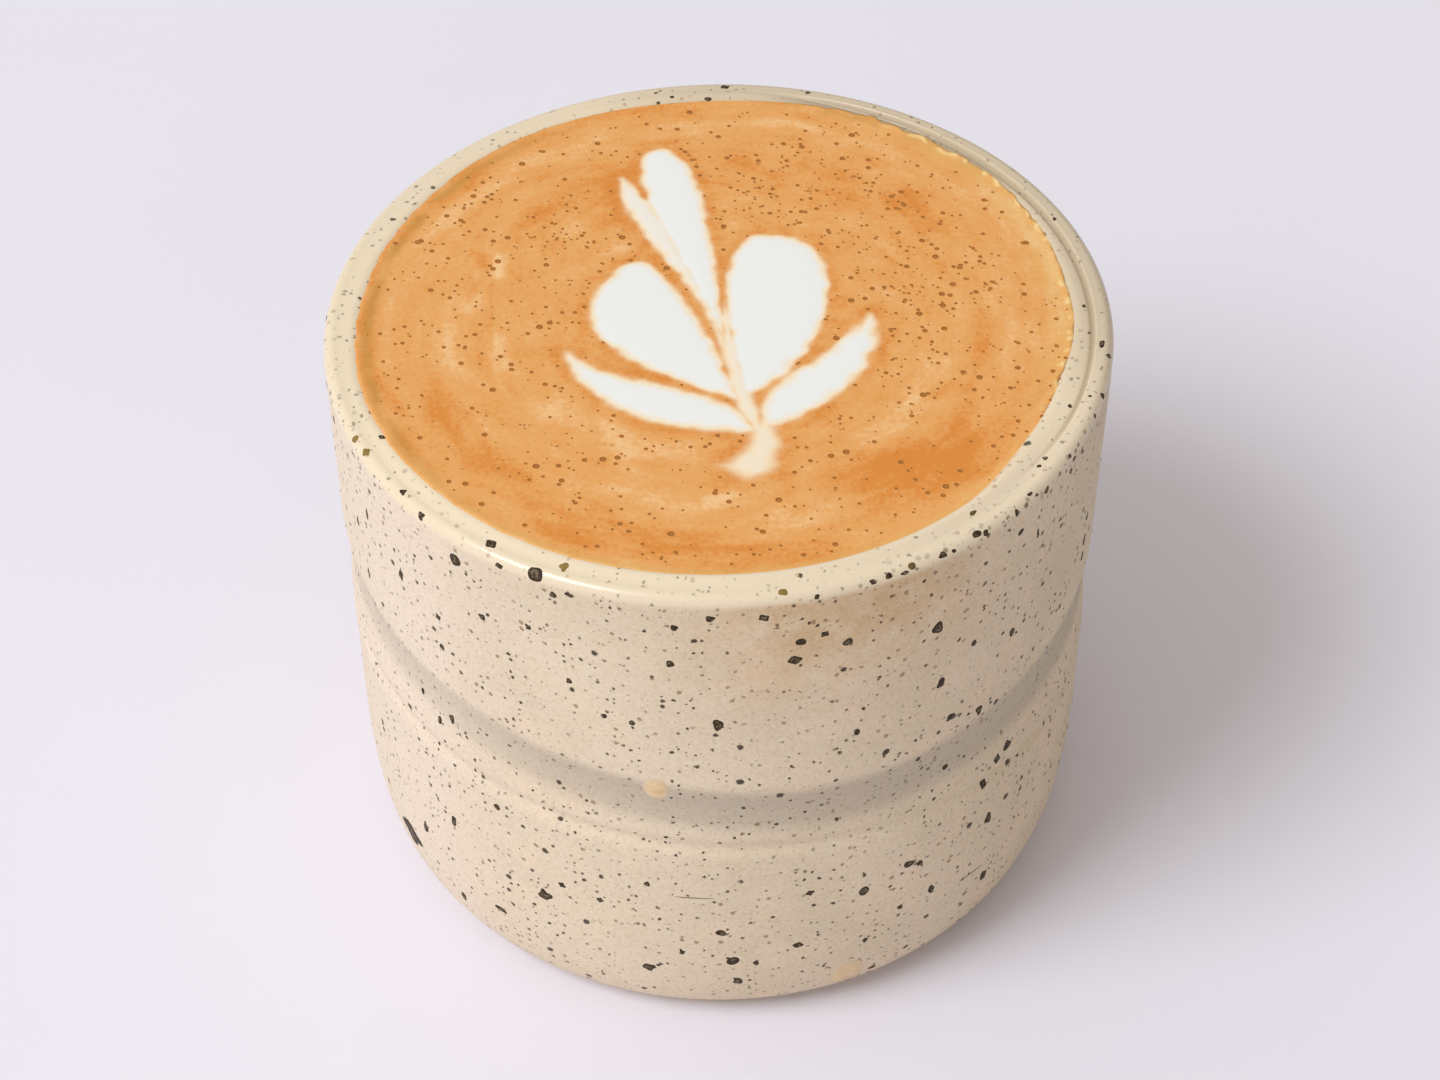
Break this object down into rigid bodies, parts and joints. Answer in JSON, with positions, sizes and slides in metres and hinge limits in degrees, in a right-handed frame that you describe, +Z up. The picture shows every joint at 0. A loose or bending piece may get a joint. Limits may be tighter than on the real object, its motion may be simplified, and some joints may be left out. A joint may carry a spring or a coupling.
{
  "type": "cortado in a stoneware cup",
  "caption": "Handleless hand-thrown stoneware cup with dark speckles and a spiral throwing groove, brim-full of milky coffee with a tulip of poured milk on its crema.",
  "frame": {"origin": "on the surface that the cup stands on, under the middle of the rim", "axes": "+Z up out of the cup, -Y towards the foot of the milk tulip, +X to the drinker's right"},
  "size_m": [0.076, 0.076, 0.0639],
  "materials": {
    "stoneware": "satin",
    "crema": "satin",
    "milk_foam": "satin"
  },
  "bodies": {
    "root": {"cup": "stoneware", "coffee": "crema", "milk_tulip": "milk_foam"}
  },
  "joints": []
}
